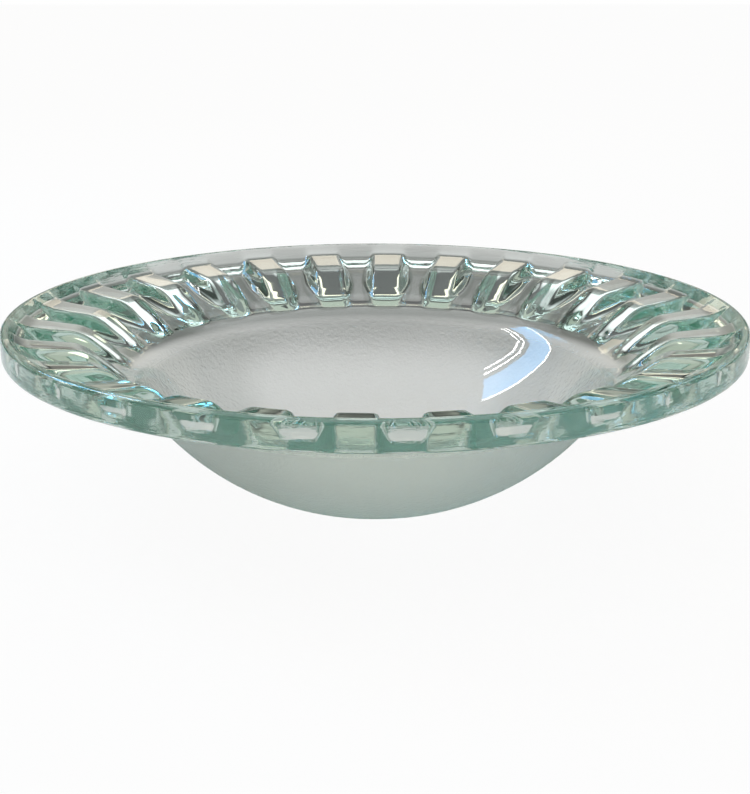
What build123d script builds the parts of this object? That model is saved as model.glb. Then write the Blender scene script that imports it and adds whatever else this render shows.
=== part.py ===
"""A wide-brimmed bowl of pressed recycled glass, for water and floating candles.

The bowl is one piece of glass, pressed in one mould: a round basin with a flat foot, a sloping brim with a
plain thick border, and a ring of radial ribs on the brim that end in round noses at the basin's lip.
Millimetres, +Z up, origin at the middle of the foot. One rib is centred on +X.
"""

import math
import os

from build123d import *

# The whole bowl
RIM_DIAMETER = 300.0
HEIGHT = 74.0
WALL = 5.0
BRIM_WIDTH = 52.0

# Foot and basin
FOOT_DIAMETER = 100.0
FOOT_ROUND = 5.0
FLOOR = 6.0
FLOOR_ROUND = 15.0
LIP_DROP = 21.8
LIP_ROUND = 30.0
BELLY_RADIUS = 105.0
THROAT_ROUND = 6.0

# Plain border round the edge of the brim: it slopes down to its inner edge
BORDER_WIDTH = 10.5
BORDER_DROP = 6.6
BORDER_ROUND = 1.2
EDGE_THICKNESS = 10.8
EDGE_ROUND = 2.2

# Hollows between the ribs, and the slanted wall in which they end at the border
HOLLOW_DROP = 9.4
HOLLOW_DRAFT = 3.6
HOLLOW_ROUND = 1.2

# Ribs: a level back from the border to a bend, then a fall to a blunt nose at the lip. Drops are below the
# top of the rim, and distances in are from the rim
RIB_COUNT = 26
RIB_END_WIDTH = 17.4
RIB_END_IN = 6.0
RIB_END_DROP = 3.4
RIB_BEND_IN = 31.0
RIB_BEND_DROP = 6.8
RIB_NOSE_WIDTH = 13.6
RIB_NOSE_IN = 45.0
RIB_NOSE_DROP = 18.6
RIB_NOSE_CORNER = 2.4
RIB_NOSE_ANGLE = 70.0
RIB_SIDE_ANGLE = 63.5
RIB_SIDE_WIDTH = 6.0
RIB_ROOT = 2.0
BEND_ROUND = 9.0
NOSE_ROUND = 4.0

# Values worked out from the sizes above
RIM_RADIUS = RIM_DIAMETER / 2
FOOT_RADIUS = FOOT_DIAMETER / 2
BORDER_RADIUS = RIM_RADIUS - BORDER_WIDTH
LIP_RADIUS = RIM_RADIUS - BRIM_WIDTH
LIP_HEIGHT = HEIGHT - LIP_DROP
HOLLOW_HEIGHT = HEIGHT - HOLLOW_DROP
BRIM_SLOPE = (HOLLOW_HEIGHT - LIP_HEIGHT) / (BORDER_RADIUS - LIP_RADIUS)
PITCH = 360.0 / RIB_COUNT


def circle_centre(start, end, radius):
    """Centre, towards the axis and above, of the circle of that radius through two points of the wall."""
    run = end[0] - start[0]
    rise = end[1] - start[1]
    chord = math.hypot(run, rise)
    reach = math.sqrt(radius**2 - (chord / 2) ** 2)
    return (start[0] + end[0]) / 2 - reach * rise / chord, (start[1] + end[1]) / 2 + reach * run / chord


def on_circle(centre, radius, angle):
    return centre[0] + radius * math.cos(angle), centre[1] + radius * math.sin(angle)


def arc_between(centre, radius, start, end):
    """The arc about centre from start to end, both on it."""
    first = math.atan2(start[1] - centre[1], start[0] - centre[0])
    last = math.atan2(end[1] - centre[1], end[0] - centre[0])
    return ThreePointArc(start, on_circle(centre, radius, (first + last) / 2), end)


def hollow_floor(radius):
    """Height of the floor of the hollows between the ribs, a cone from the lip out to the border."""
    return LIP_HEIGHT + (radius - LIP_RADIUS) * BRIM_SLOPE


def throat_point(centre, radius):
    """Where the basin's outside meets the brim's underside, one wall under the hollows, by halving."""
    low = -math.pi / 2
    high = 0.0
    for _ in range(60):
        middle = (low + high) / 2
        r, z = on_circle(centre, radius, middle)
        if z < hollow_floor(r) - WALL * math.hypot(1.0, BRIM_SLOPE):
            low = middle
        else:
            high = middle
    return on_circle(centre, radius, low)


def border_corner_height():
    """Height of the border's sloping top at the rim, so that its rounded edge reaches the full height."""
    run = BORDER_WIDTH - EDGE_ROUND
    rise = BORDER_DROP - EDGE_ROUND
    slope = math.atan2(rise, run) + math.asin(EDGE_ROUND / math.hypot(run, rise))
    return HEIGHT - BORDER_DROP + BORDER_WIDTH * math.tan(slope)


def bowl_section():
    """Half section of the bowl through a hollow, in the XZ plane."""
    inner_foot = (FOOT_RADIUS, FLOOR)
    inner_lip = (LIP_RADIUS, LIP_HEIGHT)
    centre = circle_centre(inner_foot, inner_lip, BELLY_RADIUS)
    outer_belly = BELLY_RADIUS + WALL
    outer_foot = (centre[0] + math.sqrt(outer_belly**2 - centre[1] ** 2), 0.0)
    throat = throat_point(centre, outer_belly)
    edge_top = (RIM_RADIUS, border_corner_height())
    edge_bottom = (RIM_RADIUS, HEIGHT - EDGE_THICKNESS)
    border_inner = (BORDER_RADIUS, HEIGHT - BORDER_DROP)
    hollow_outer = (BORDER_RADIUS - HOLLOW_DRAFT, hollow_floor(BORDER_RADIUS - HOLLOW_DRAFT))
    corners = (
        (inner_foot, FLOOR_ROUND),
        (inner_lip, LIP_ROUND),
        (hollow_outer, HOLLOW_ROUND),
        (border_inner, BORDER_ROUND),
        (edge_top, EDGE_ROUND),
        (edge_bottom, EDGE_ROUND),
        (throat, THROAT_ROUND),
        (outer_foot, FOOT_ROUND),
    )
    with BuildSketch(Plane.XZ) as section:
        with BuildLine():
            Line((0.0, FLOOR), inner_foot)
            arc_between(centre, BELLY_RADIUS, inner_foot, inner_lip)
            Polyline(inner_lip, hollow_outer, border_inner, edge_top, edge_bottom, throat)
            arc_between(centre, outer_belly, throat, outer_foot)
            Polyline(outer_foot, (0.0, 0.0), (0.0, FLOOR))
        make_face()
        for corner, radius in corners:
            fillet(section.vertices().sort_by_distance((corner[0], corner[1], 0.0))[0], radius)
    return section.sketch


def rib_side(side, outward, lower, back):
    """Side view of a rib along one edge of its back, set outward, lowered and with its nose drawn back."""
    end = RIM_RADIUS - RIB_END_IN
    bend = (RIM_RADIUS - RIB_BEND_IN, HEIGHT - RIB_BEND_DROP - lower)
    nose = (RIM_RADIUS - RIB_NOSE_IN + back, HEIGHT - RIB_NOSE_DROP - lower)
    nose_foot = (nose[0] - nose[1] / math.tan(math.radians(RIB_NOSE_ANGLE)), 0.0)
    spread = (RIB_END_WIDTH - RIB_NOSE_WIDTH) / 2 / (RIB_NOSE_IN - RIB_END_IN)
    at_axis = RIB_END_WIDTH / 2 + outward - end * spread
    along = (1.0, side * spread, 0.0)
    facing = (side * spread, -1.0, 0.0)
    with BuildSketch(Plane((0.0, side * at_axis, 0.0), x_dir=along, z_dir=facing)) as view:
        with BuildLine():
            Polyline((end, 0.0), (end, HEIGHT - RIB_END_DROP - lower), bend, nose, nose_foot, close=True)
        make_face()
        fillet(view.vertices().sort_by_distance((bend[0], bend[1], 0.0))[0], BEND_ROUND)
        fillet(view.vertices().sort_by_distance((nose[0], nose[1], 0.0))[0], NOSE_ROUND)
    return view.sketch


def rib_room():
    """Everything above the middle of the brim's wall: a rib starts inside the glass and comes out on top."""
    axis_root = (0.0, LIP_HEIGHT - RIB_ROOT)
    lip_root = (LIP_RADIUS + RIB_ROOT, LIP_HEIGHT - RIB_ROOT)
    end_root = (RIM_RADIUS, hollow_floor(RIM_RADIUS) - RIB_ROOT)
    with BuildSketch(Plane.XZ) as room:
        with BuildLine():
            Polyline(axis_root, lip_root, end_root, (RIM_RADIUS, HEIGHT), (0.0, HEIGHT), close=True)
        make_face()
    return revolve(room.sketch, Axis.Z)


def rib():
    """One rib, centred on +X: a flat back with a blunt nose, between two sloping sides."""
    fall = RIB_SIDE_WIDTH * math.tan(math.radians(RIB_SIDE_ANGLE))
    half = [
        (RIB_SIDE_WIDTH, fall, RIB_NOSE_CORNER),
        (0.0, 0.0, RIB_NOSE_CORNER),
        (-RIB_NOSE_CORNER, 0.0, 0.0),
    ]
    left = [rib_side(-1, *view) for view in half]
    right = [rib_side(1, *view) for view in reversed(half)]
    return loft(left + right, ruled=True) & rib_room()


os.makedirs("parts", exist_ok=True)

one_rib = rib()
ribs = [Rot(0, 0, n * PITCH) * one_rib for n in range(RIB_COUNT)]
glass_bowl = revolve(bowl_section(), Axis.Z).fuse(*ribs)
export_step(glass_bowl, "parts/glass_bowl.step")
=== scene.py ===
"""A wide-brimmed bowl of pale aqua pressed glass, for water and floating candles, on a plain white table."""

import math

import bmesh
import bpy
from mathutils import Matrix, Vector


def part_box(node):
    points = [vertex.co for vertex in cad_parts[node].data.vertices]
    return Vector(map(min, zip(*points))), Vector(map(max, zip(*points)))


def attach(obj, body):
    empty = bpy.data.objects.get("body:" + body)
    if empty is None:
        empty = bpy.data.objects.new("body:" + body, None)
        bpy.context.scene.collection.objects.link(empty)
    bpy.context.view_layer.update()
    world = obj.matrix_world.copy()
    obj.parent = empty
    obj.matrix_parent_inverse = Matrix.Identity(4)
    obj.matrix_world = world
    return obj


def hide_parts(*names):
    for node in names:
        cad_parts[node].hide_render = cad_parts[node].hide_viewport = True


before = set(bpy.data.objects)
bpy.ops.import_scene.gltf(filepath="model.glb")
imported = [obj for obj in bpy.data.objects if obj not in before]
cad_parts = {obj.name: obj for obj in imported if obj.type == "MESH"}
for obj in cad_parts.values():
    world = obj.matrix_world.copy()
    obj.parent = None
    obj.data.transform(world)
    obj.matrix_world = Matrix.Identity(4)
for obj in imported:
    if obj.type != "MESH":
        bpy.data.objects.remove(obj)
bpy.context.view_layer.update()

MM = 0.001

# Sizes of the bowl in millimetres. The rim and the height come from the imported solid.
bowl_low, bowl_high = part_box("glass_bowl")
RIM_RADIUS = (bowl_high[0] - bowl_low[0]) / 2 / MM
HEIGHT = bowl_high[2] / MM
WALL = 5.0
BRIM_WIDTH = 52.0
FOOT_RADIUS = 50.0
FOOT_ROUND = 5.0
FLOOR = 6.0
FLOOR_ROUND = 15.0
LIP_DROP = 21.8
LIP_ROUND = 30.0
BELLY_RADIUS = 105.0
THROAT_ROUND = 12.0
BORDER_WIDTH = 10.5
BORDER_DROP = 6.6
BORDER_ROUND = 10.0
EDGE_THICKNESS = 10.8
EDGE_ROUND = 2.2
HOLLOW_DROP = 9.4
HOLLOW_ROUND = 8.0
HOLLOW_DRAFT = 3.6
SATIN_TOP = 47.0
SATIN_BLEND = 5.0

# Sizes of the ribs in millimetres. Drops are below the top of the rim, and distances in are from the rim.
RIB_COUNT = 26
RIB_END_WIDTH = 17.4
RIB_END_IN = 6.0
RIB_END_DROP = 3.4
RIB_BEND_IN = 31.0
RIB_BEND_DROP = 6.8
RIB_NOSE_WIDTH = 13.6
RIB_NOSE_IN = 45.0
RIB_NOSE_DROP = 18.6
RIB_NOSE_CORNER = 2.4
RIB_NOSE_SLOPE = math.tan(math.radians(70.0))
RIB_SIDE_SLOPE = math.tan(math.radians(63.5))
RIB_ROUND = 2.4
BEND_BLEND = 3.2
NOSE_BLEND = 5.5
ROOT_BLEND = 3.6

LIP_RADIUS = RIM_RADIUS - BRIM_WIDTH
LIP_HEIGHT = HEIGHT - LIP_DROP
BORDER_RADIUS = RIM_RADIUS - BORDER_WIDTH
HOLLOW_HEIGHT = HEIGHT - HOLLOW_DROP
BRIM_ANGLE = math.atan2(HOLLOW_HEIGHT - LIP_HEIGHT, BORDER_RADIUS - LIP_RADIUS)
PITCH = math.tau / RIB_COUNT


def line_points(start, end, steps):
    """Points after start up to end."""
    return [start.lerp(end, n / steps) for n in range(1, steps + 1)]


def arc_points(centre, radius, first, last, steps):
    """Points after the first angle up to the last, in radians above the horizontal."""
    turns = [first + (last - first) * n / steps for n in range(1, steps + 1)]
    return [centre + radius * Vector((math.cos(turn), math.sin(turn))) for turn in turns]


def angle_from(centre, point):
    return math.atan2(point.y - centre.y, point.x - centre.x)


def corner_points(before, corner, after, radius, steps):
    """A corner between two straight runs, rounded off."""
    back = (before - corner).normalized()
    ahead = (after - corner).normalized()
    half = back.angle(ahead) / 2
    middle = corner + (back + ahead).normalized() * radius / math.sin(half)
    start = corner + back * radius / math.tan(half)
    end = corner + ahead * radius / math.tan(half)
    first = angle_from(middle, start)
    turn = (angle_from(middle, end) - first + math.pi) % math.tau - math.pi
    return [start] + arc_points(middle, radius, first, first + turn, steps)


def belly_corner(belly, belly_radius, point, slope, side, radius):
    """Centre of the round between the basin's wall and a straight run, above the run where side is 1."""
    along = Vector((math.cos(slope), math.sin(slope)))
    start = point + side * radius * Vector((-along.y, along.x)) - belly
    reach = start.dot(along)
    run = math.sqrt(reach**2 - start.length_squared + belly_radius**2) - reach
    return belly + start + run * along


def bowl_profile():
    """Half section through a hollow, inside to underneath: points, each with its satin and streaked share."""
    inner_foot = Vector((FOOT_RADIUS, FLOOR))
    inner_lip = Vector((LIP_RADIUS, LIP_HEIGHT))
    chord = inner_lip - inner_foot
    rise = math.sqrt(BELLY_RADIUS**2 - chord.length_squared / 4)
    belly = (inner_foot + inner_lip) / 2 + rise * Vector((-chord.y, chord.x)).normalized()
    outer_radius = BELLY_RADIUS + WALL
    outward = Vector((math.cos(BRIM_ANGLE), math.sin(BRIM_ANGLE)))

    floor_round = belly_corner(belly, BELLY_RADIUS - FLOOR_ROUND, inner_foot, 0.0, 1, FLOOR_ROUND)
    lip_round = belly_corner(belly, BELLY_RADIUS + LIP_ROUND, inner_lip, BRIM_ANGLE, -1, LIP_ROUND)
    up_wall = angle_from(belly, floor_round)
    up_lip = angle_from(belly, lip_round)

    border_inner = Vector((BORDER_RADIUS, HEIGHT - BORDER_DROP))
    crest = Vector((RIM_RADIUS - EDGE_ROUND, HEIGHT - EDGE_ROUND))
    to_crest = crest - border_inner
    border_slope = angle_from(border_inner, crest) + math.asin(EDGE_ROUND / to_crest.length)
    edge_top = Vector((RIM_RADIUS, border_inner.y + BORDER_WIDTH * math.tan(border_slope)))
    edge_bottom = Vector((RIM_RADIUS, HEIGHT - EDGE_THICKNESS))
    hollow_outer = Vector(
        (BORDER_RADIUS - HOLLOW_DRAFT, HOLLOW_HEIGHT - HOLLOW_DRAFT * math.tan(BRIM_ANGLE))
    )

    under_lip = inner_lip + WALL * Vector((outward.y, -outward.x))
    under_slope = math.atan2(edge_bottom.y - under_lip.y, edge_bottom.x - under_lip.x)
    throat_round = belly_corner(
        belly, outer_radius + THROAT_ROUND, edge_bottom, under_slope, -1, THROAT_ROUND
    )
    foot_round = belly_corner(belly, outer_radius - FOOT_ROUND, Vector((0.0, 0.0)), 0.0, 1, FOOT_ROUND)
    down_wall = angle_from(belly, throat_round)
    down_foot = angle_from(belly, foot_round)

    inside = [Vector((0.0, FLOOR))]
    inside += line_points(inside[-1], Vector((floor_round.x, FLOOR)), 2)
    inside += arc_points(floor_round, FLOOR_ROUND, -math.pi / 2, up_wall, 5)
    inside += arc_points(belly, BELLY_RADIUS, up_wall, up_lip, 10)
    inside += arc_points(lip_round, LIP_ROUND, up_lip + math.pi, BRIM_ANGLE + math.pi / 2, 6)
    hollow_corner = corner_points(inside[-1], hollow_outer, border_inner, HOLLOW_ROUND, 6)
    inside += line_points(inside[-1], hollow_corner[0], 32)
    inside += hollow_corner[1:]
    border_round = corner_points(hollow_outer, border_inner, edge_top, BORDER_ROUND, 6)
    inside += line_points(inside[-1], border_round[0], 3)
    inside += border_round[1:]
    top_round = corner_points(border_inner, edge_top, edge_bottom, EDGE_ROUND, 7)
    inside += line_points(inside[-1], top_round[0], 4)
    inside += top_round[1:]
    bottom_round = corner_points(edge_top, edge_bottom, under_lip, EDGE_ROUND, 5)
    inside += line_points(inside[-1], bottom_round[0], 2)
    inside += bottom_round[1:]

    throat_top = throat_round + THROAT_ROUND * Vector((-math.sin(under_slope), math.cos(under_slope)))
    inside += line_points(inside[-1], throat_top, 3)
    under = arc_points(throat_round, THROAT_ROUND, under_slope + math.pi / 2, down_wall + math.pi, 5)
    under += arc_points(belly, outer_radius, down_wall, down_foot, 18)
    under += arc_points(foot_round, FOOT_ROUND, down_foot, -math.pi / 2, 4)
    under += line_points(under[-1], Vector((0.0, 0.0)), 2)
    streaked = [float(point.x > RIM_RADIUS - EDGE_ROUND - 0.1) for point in inside]
    satin = [min(max((SATIN_TOP - point.y) / SATIN_BLEND, 0.0), 1.0) for point in under]
    upper = zip(inside, [0.0] * len(inside), streaked)
    lower = zip(under, satin, [0.0] * len(under))
    return [*upper, *lower]


def smooth_most(a, b, blend):
    """The greater of two heights, with the crease between them rounded over about blend."""
    near = max(blend - abs(a - b), 0.0) / blend
    return max(a, b) + near * near * blend / 4


def hollow_floor(radius):
    """Height of the floor of the hollows, a cone from the lip out to the border."""
    return LIP_HEIGHT + (radius - LIP_RADIUS) * math.tan(BRIM_ANGLE)


def rib_half_width(inward):
    """Half the width of a rib's back, which narrows from the border to the nose."""
    share = (inward - RIB_END_IN) / (RIB_NOSE_IN - RIB_END_IN)
    return (RIB_END_WIDTH + (RIB_NOSE_WIDTH - RIB_END_WIDTH) * share) / 2


def rib_back(inward, across):
    """Height of a rib's back: nearly level in from the border, then a fall and a blunt, rounded nose."""
    reach = (abs(across) - rib_half_width(inward)) / (2 * RIB_NOSE_CORNER) + 1.0
    nose_in = RIB_NOSE_IN - RIB_NOSE_CORNER * min(max(reach, 0.0), 1.0) ** 2
    level = (RIB_BEND_DROP - RIB_END_DROP) / (RIB_BEND_IN - RIB_END_IN)
    fall = (RIB_NOSE_DROP - RIB_BEND_DROP) / (RIB_NOSE_IN - RIB_BEND_IN)
    level_drop = RIB_END_DROP + (inward - RIB_END_IN) * level
    fall_drop = RIB_BEND_DROP + (inward - RIB_BEND_IN) * fall
    nose_drop = RIB_BEND_DROP + (nose_in - RIB_BEND_IN) * fall + (inward - nose_in) * RIB_NOSE_SLOPE
    return HEIGHT - smooth_most(smooth_most(level_drop, fall_drop, BEND_BLEND), nose_drop, NOSE_BLEND)


def rib_height(inward, across):
    """Height of a rib's surface: its back, rounded over at the edges, and its sloping sides."""
    past = RIB_ROUND * math.sin(math.atan(RIB_SIDE_SLOPE))
    inset = rib_half_width(inward) - abs(across)
    if inset >= past:
        fall = 0.0
    elif inset >= 0.0:
        fall = RIB_ROUND - math.sqrt(RIB_ROUND**2 - (past - inset) ** 2)
    else:
        fall = RIB_ROUND - math.sqrt(RIB_ROUND**2 - past**2) - inset * RIB_SIDE_SLOPE
    return rib_back(inward, across) - fall


# How half a pitch is divided: steps across half a rib's back, down its side and over half a hollow
BACK_STEPS = 5
SIDE_STEPS = 8
HOLLOW_STEPS = 3
HALF_STEPS = BACK_STEPS + SIDE_STEPS + HOLLOW_STEPS
HOLLOW_SHARE = 0.14

# Where the ribs begin, out from the lip, and the widths over which the mesh's lines are gathered along them
LIP_CLEAR = 1.0
LIP_GATHER = 5.0
RIM_GATHER = 2.0


def step_across(step, radius):
    """Distance from a rib's middle of a step of the mesh, so that its lines run along the rib's edges."""
    half_width = rib_half_width(RIM_RADIUS - radius)
    back = half_width - RIB_ROUND
    stand = max(rib_back(RIM_RADIUS - radius, 0.0) - hollow_floor(radius), 1.0)
    half_pitch = radius * PITCH / 2
    side = min(half_width + stand / RIB_SIDE_SLOPE + ROOT_BLEND / 2, half_pitch * (1 - HOLLOW_SHARE))
    if step <= BACK_STEPS:
        return back * step / BACK_STEPS
    if step <= BACK_STEPS + SIDE_STEPS:
        return back + (side - back) * (step - BACK_STEPS) / SIDE_STEPS
    return side + (half_pitch - side) * (step - BACK_STEPS - SIDE_STEPS) / HOLLOW_STEPS


def raise_rib(mesh):
    """Gathers one pitch's lines along its rib's edges and lifts the brim's upper side to the rib."""
    reach = LIP_RADIUS + LIP_CLEAR
    rim = RIM_RADIUS - EDGE_ROUND
    for vert in mesh.verts:
        radius = math.hypot(vert.co.x, vert.co.y)
        if not reach < radius < rim or vert.co.z < hollow_floor(radius) - WALL / 2:
            continue
        turn = math.atan2(vert.co.y, vert.co.x)
        step = round(abs(turn) / PITCH * 2 * HALF_STEPS)
        share = min((radius - reach) / LIP_GATHER, (rim - radius) / RIM_GATHER, 1.0)
        moved = abs(turn) + (step_across(step, radius) / radius - abs(turn)) * share
        vert.co.x = radius * math.cos(moved)
        vert.co.y = radius * math.copysign(math.sin(moved), turn)
        vert.co.z = smooth_most(vert.co.z, rib_height(RIM_RADIUS - vert.co.x, vert.co.y), ROOT_BLEND)


def build_bowl():
    """Spins the section over one pitch, raises its rib and repeats the pitch all the way round."""
    mesh = bmesh.new()
    satin = mesh.verts.layers.float.new("satin")
    streaks = mesh.verts.layers.float.new("streaks")
    start = Matrix.Rotation(-PITCH / 2, 3, "Z")
    verts = []
    for point, satin_here, streaks_here in bowl_profile():
        vert = mesh.verts.new(start @ Vector((point.x, 0.0, point.y)))
        vert[satin] = satin_here
        vert[streaks] = streaks_here
        verts.append(vert)
    edges = [mesh.edges.new(pair) for pair in zip(verts, verts[1:])]
    round_axis = {"cent": (0, 0, 0), "axis": (0, 0, 1)}
    bmesh.ops.spin(mesh, geom=verts + edges, angle=PITCH, steps=2 * HALF_STEPS, **round_axis)
    raise_rib(mesh)
    pitch = mesh.verts[:] + mesh.edges[:] + mesh.faces[:]
    bmesh.ops.spin(
        mesh, geom=pitch, angle=math.tau - PITCH, steps=RIB_COUNT - 1, use_duplicate=True, **round_axis
    )
    bmesh.ops.remove_doubles(mesh, verts=mesh.verts, dist=0.002)
    bmesh.ops.recalc_face_normals(mesh, faces=mesh.faces)
    return mesh


def linear(code):
    """sRGB hex to linear colour."""
    parts = [int(code[n : n + 2], 16) / 255 for n in (1, 3, 5)]
    return tuple(c / 12.92 if c <= 0.04045 else ((c + 0.055) / 1.055) ** 2.4 for c in parts) + (1.0,)


def add_node(tree, kind, settings=None, **inputs):
    """Adds a node. Inputs are values or other nodes' sockets, under their names with _ for a space."""
    node = tree.nodes.new(kind)
    for name, value in (settings or {}).items():
        setattr(node, name, value)
    for name, value in inputs.items():
        socket = node.inputs[int(name[1:])] if name[1:].isdigit() else node.inputs[name.replace("_", " ")]
        if isinstance(value, bpy.types.NodeSocket):
            tree.links.new(value, socket)
        else:
            socket.default_value = value
    return node


def new_material(name):
    material = bpy.data.materials.new(name)
    material.use_nodes = True
    material.node_tree.nodes.clear()
    return material, material.node_tree


# Grain of the satin glass and streaks of the edge: size and depths in millimetres, and streaks per metre, few
# round the edge and many up it
GRAIN_SIZE = 1.8
GRAIN_DEPTH = 0.28
STREAK_DEPTH = 0.2
STREAK_SCALE = (70.0, 70.0, 420.0)
POLISHED_ROUGHNESS = 0.02
SATIN_ROUGHNESS = 0.36


# Pressed recycled soda-lime glass: clear, faintly aqua through its thickness, fire-polished where the plunger
# pressed it, and satin where it lay against the cold mould.
def recycled_glass():
    material, tree = new_material("pressed_recycled_glass")
    satin = add_node(tree, "ShaderNodeAttribute", {"attribute_name": "satin"})
    place = add_node(tree, "ShaderNodeTexCoord")
    grain = add_node(
        tree,
        "ShaderNodeTexNoise",
        Vector=place.outputs["Object"],
        Scale=1 / (GRAIN_SIZE * MM),
        Detail=3.0,
        Roughness=0.6,
    )
    grain_bump = add_node(
        tree,
        "ShaderNodeBump",
        Height=grain.outputs["Fac"],
        Strength=satin.outputs["Fac"],
        Distance=GRAIN_DEPTH * MM,
    )
    streaked = add_node(tree, "ShaderNodeAttribute", {"attribute_name": "streaks"})
    stretched = add_node(
        tree, "ShaderNodeVectorMath", {"operation": "MULTIPLY"}, _0=place.outputs["Object"], _1=STREAK_SCALE
    )
    streaks = add_node(
        tree, "ShaderNodeTexNoise", Vector=stretched.outputs[0], Scale=1.0, Detail=3.0, Roughness=0.6
    )
    streak_bump = add_node(
        tree,
        "ShaderNodeBump",
        Height=streaks.outputs["Fac"],
        Strength=streaked.outputs["Fac"],
        Distance=STREAK_DEPTH * MM,
        Normal=grain_bump.outputs["Normal"],
    )
    roughness = add_node(
        tree,
        "ShaderNodeMapRange",
        Value=satin.outputs["Fac"],
        To_Min=POLISHED_ROUGHNESS,
        To_Max=SATIN_ROUGHNESS,
    )
    glass = add_node(
        tree,
        "ShaderNodeBsdfPrincipled",
        Base_Color=linear("#F8FCF8"),
        Roughness=roughness.outputs["Result"],
        IOR=1.52,
        Transmission_Weight=1.0,
        Normal=streak_bump.outputs["Normal"],
    )
    body = add_node(tree, "ShaderNodeVolumeAbsorption", Color=linear("#8CD9C6"), Density=9.5)
    add_node(
        tree, "ShaderNodeOutputMaterial", Surface=glass.outputs["BSDF"], Volume=body.outputs["Volume"]
    )
    return material


def make_bowl():
    mesh = build_bowl()
    bmesh.ops.scale(mesh, vec=(MM, MM, MM), verts=mesh.verts)
    data = bpy.data.meshes.new("glass_bowl_surface")
    for face in mesh.faces:
        face.smooth = True
    mesh.to_mesh(data)
    mesh.free()
    bowl = bpy.data.objects.new("glass_bowl_surface", data)
    bpy.context.collection.objects.link(bowl)
    data.materials.append(recycled_glass())
    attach(bowl, "root")
    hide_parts("glass_bowl")
    return bowl


# The table in metres: its half width, its gap under the flat foot, and how far from the middle a painted pool
# of light keeps it pale and from where painted shade makes it grey, as seen through the glass. The shares are
# of plain shade, the rest is lit paint.
TABLE_SIZE = 60.0
TABLE_GAP = 0.0002
PAINTED_LIGHT_REACH = 0.16
PAINTED_SHADE_REACH = 0.30
SEEN_SHARE = 0.93
THROUGH_SHARE = 0.85


# Matte white table, shown as plain white, with a little of the bowl's shadow left in it. Through the glass it
# glows with painted light near the bowl and painted grey shade further out
def make_table():
    mesh = bmesh.new()
    bmesh.ops.create_grid(mesh, x_segments=1, y_segments=1, size=TABLE_SIZE)
    data = bpy.data.meshes.new("table")
    mesh.to_mesh(data)
    mesh.free()
    table = bpy.data.objects.new("table", data)
    table.location.z = -TABLE_GAP
    bpy.context.collection.objects.link(table)
    material, tree = new_material("matte_white_table")
    rays = add_node(tree, "ShaderNodeLightPath")
    seen = add_node(
        tree, "ShaderNodeMath", {"operation": "MULTIPLY"}, _0=rays.outputs["Is Camera Ray"], _1=SEEN_SHARE
    )
    through = add_node(
        tree,
        "ShaderNodeMath",
        {"operation": "MULTIPLY"},
        _0=rays.outputs["Is Transmission Ray"],
        _1=THROUGH_SHARE,
    )
    share = add_node(
        tree, "ShaderNodeMath", {"operation": "MAXIMUM"}, _0=seen.outputs[0], _1=through.outputs[0]
    )
    place = add_node(tree, "ShaderNodeTexCoord")
    away = add_node(tree, "ShaderNodeVectorMath", {"operation": "LENGTH"}, _0=place.outputs["Object"])
    # Painted light and shade seen through the glass: a pale painted pool of light near the bowl, grey painted
    # shade further out
    far = add_node(
        tree,
        "ShaderNodeMapRange",
        {"interpolation_type": "SMOOTHSTEP"},
        Value=away.outputs["Value"],
        From_Min=PAINTED_LIGHT_REACH,
        From_Max=PAINTED_SHADE_REACH,
    )
    painted_light_and_shade = add_node(
        tree,
        "ShaderNodeMix",
        {"data_type": "RGBA"},
        _0=far.outputs["Result"],
        _6=linear("#D8D3D4"),
        _7=linear("#64635F"),
    )
    shade = add_node(
        tree,
        "ShaderNodeMix",
        {"data_type": "RGBA"},
        _0=rays.outputs["Is Camera Ray"],
        _6=painted_light_and_shade.outputs[2],
        _7=(1.0, 1.0, 1.0, 1.0),
    )
    paint = add_node(tree, "ShaderNodeBsdfDiffuse", Color=linear("#E8E6E0"))
    # Glows white to the camera, and with the painted light and shade to rays through the glass
    white = add_node(tree, "ShaderNodeEmission", Color=shade.outputs[2], Strength=1.0)
    mixed = add_node(
        tree, "ShaderNodeMixShader", _0=share.outputs[0], _1=paint.outputs[0], _2=white.outputs[0]
    )
    add_node(tree, "ShaderNodeOutputMaterial", Surface=mixed.outputs[0])
    data.materials.append(material)


# The room's shade by height, as the sine of the angle over the table: a dark skirting, a pale wall, a dark
# frieze and a white ceiling. The front of the room is dimmer than the rest.
ROOM_SHADES = (
    (0.0, "#1C1E1D"),
    (0.09, "#2E302E"),
    (0.17, "#8A867F"),
    (0.22, "#A5A199"),
    (0.38, "#A5A199"),
    (0.47, "#363736"),
    (0.66, "#363736"),
    (0.80, "#F6F6F9"),
)
ROOM_STRENGTH = 1.7
FRONT_STRENGTH = 0.4
FRONT_FROM = -0.35
FRONT_FULL = -0.95


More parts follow.
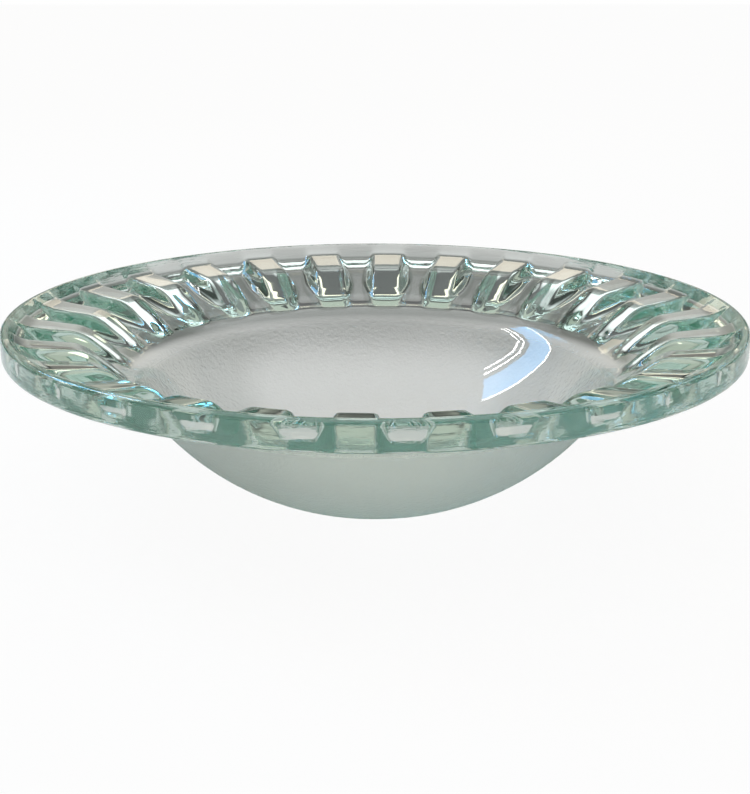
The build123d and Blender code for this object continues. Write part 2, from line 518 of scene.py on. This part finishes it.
def make_world():
    world = bpy.data.worlds.new("studio")
    bpy.context.scene.world = world
    world.use_nodes = True
    tree = world.node_tree
    tree.nodes.clear()
    rays = add_node(tree, "ShaderNodeLightPath")
    place = add_node(tree, "ShaderNodeTexCoord")
    parts = add_node(tree, "ShaderNodeSeparateXYZ", Vector=place.outputs["Generated"])
    shade = add_node(tree, "ShaderNodeValToRGB", Fac=parts.outputs["Z"])
    stops = shade.color_ramp.elements
    while len(stops) < len(ROOM_SHADES):
        stops.new(1.0)
    for stop, (height, colour) in zip(stops, ROOM_SHADES):
        stop.position = height
        stop.color = linear(colour)
    strength = add_node(
        tree,
        "ShaderNodeMapRange",
        Value=parts.outputs["Y"],
        From_Min=FRONT_FULL,
        From_Max=FRONT_FROM,
        To_Min=FRONT_STRENGTH,
        To_Max=ROOM_STRENGTH,
    )
    room = add_node(
        tree, "ShaderNodeBackground", Color=shade.outputs["Color"], Strength=strength.outputs["Result"]
    )
    white = add_node(tree, "ShaderNodeBackground", Color=(1.0, 1.0, 1.0, 1.0), Strength=1.0)
    mixed = add_node(
        tree, "ShaderNodeMixShader", _0=rays.outputs["Is Camera Ray"], _1=room.outputs[0], _2=white.outputs[0]
    )
    add_node(tree, "ShaderNodeOutputWorld", Surface=mixed.outputs[0])


def make_light(name, place, aim, size, power, colour):
    lamp = bpy.data.lights.new(name, "AREA")
    lamp.shape = "RECTANGLE"
    lamp.size, lamp.size_y = size
    lamp.energy = power
    lamp.color = linear(colour)[:3]
    light = bpy.data.objects.new(name, lamp)
    light.location = place
    light.rotation_euler = (Vector(aim) - Vector(place)).to_track_quat("-Z", "Y").to_euler()
    bpy.context.collection.objects.link(light)


# The window in metres: across from its middle, width, watts and colour of its pane and its white bars
WINDOW_PLACE = Vector((-0.83, 0.45, 0.83))
WINDOW_AIM = Vector((0.05, 0.05, 0.04))
WINDOW_HEIGHT = 0.55
WINDOW_PARTS = (
    ("pane", -0.06, 0.24, 3.2, "#6EC0FF"),
    ("inner_bar", 0.12, 0.018, 0.8, "#FFFFFF"),
    ("outer_bar", 0.18, 0.018, 0.8, "#FFFFFF"),
    ("frame_bar", -0.19, 0.018, 0.6, "#FFFFFF"),
)


def make_window():
    across = (WINDOW_AIM - WINDOW_PLACE).cross(Vector((0.0, 0.0, 1.0))).normalized()
    for name, offset, width, power, colour in WINDOW_PARTS:
        shift = across * offset
        place = WINDOW_PLACE + shift
        aim = WINDOW_AIM + shift
        make_light(f"window_{name}", place, aim, (width, WINDOW_HEIGHT), power, colour)


# The camera's place, as distance from the bowl's axis, height over its rim and angles round it and down
CAMERA_DISTANCE = 3.4832 * RIM_RADIUS * MM
CAMERA_HEIGHT = (HEIGHT + 0.8125 * RIM_RADIUS) * MM
CAMERA_ROUND = math.radians(-4.09)
CAMERA_DOWN = math.radians(17.07)
CAMERA_LENS = 58.65


def make_camera():
    lens = bpy.data.cameras.new("camera")
    lens.lens = CAMERA_LENS
    lens.sensor_width = 36.0
    lens.clip_start = 0.01
    camera = bpy.data.objects.new("camera", lens)
    camera.location = (
        CAMERA_DISTANCE * math.sin(CAMERA_ROUND), -CAMERA_DISTANCE * math.cos(CAMERA_ROUND), CAMERA_HEIGHT
    )
    camera.rotation_euler = (math.pi / 2 - CAMERA_DOWN, 0.0, CAMERA_ROUND)
    bpy.context.collection.objects.link(camera)
    bpy.context.scene.camera = camera


make_bowl()
make_table()
make_world()
make_window()
make_light("pale_wall", (0.0, 1.6, 0.79), (0.0, 0.0, 0.07), (0.8, 0.16), 0.8, "#FFF1D8")
make_camera()

scene = bpy.context.scene
scene.view_settings.view_transform = "Standard"
scene.cycles.transmission_bounces = 24
scene.cycles.glossy_bounces = 24
scene.cycles.max_bounces = 32
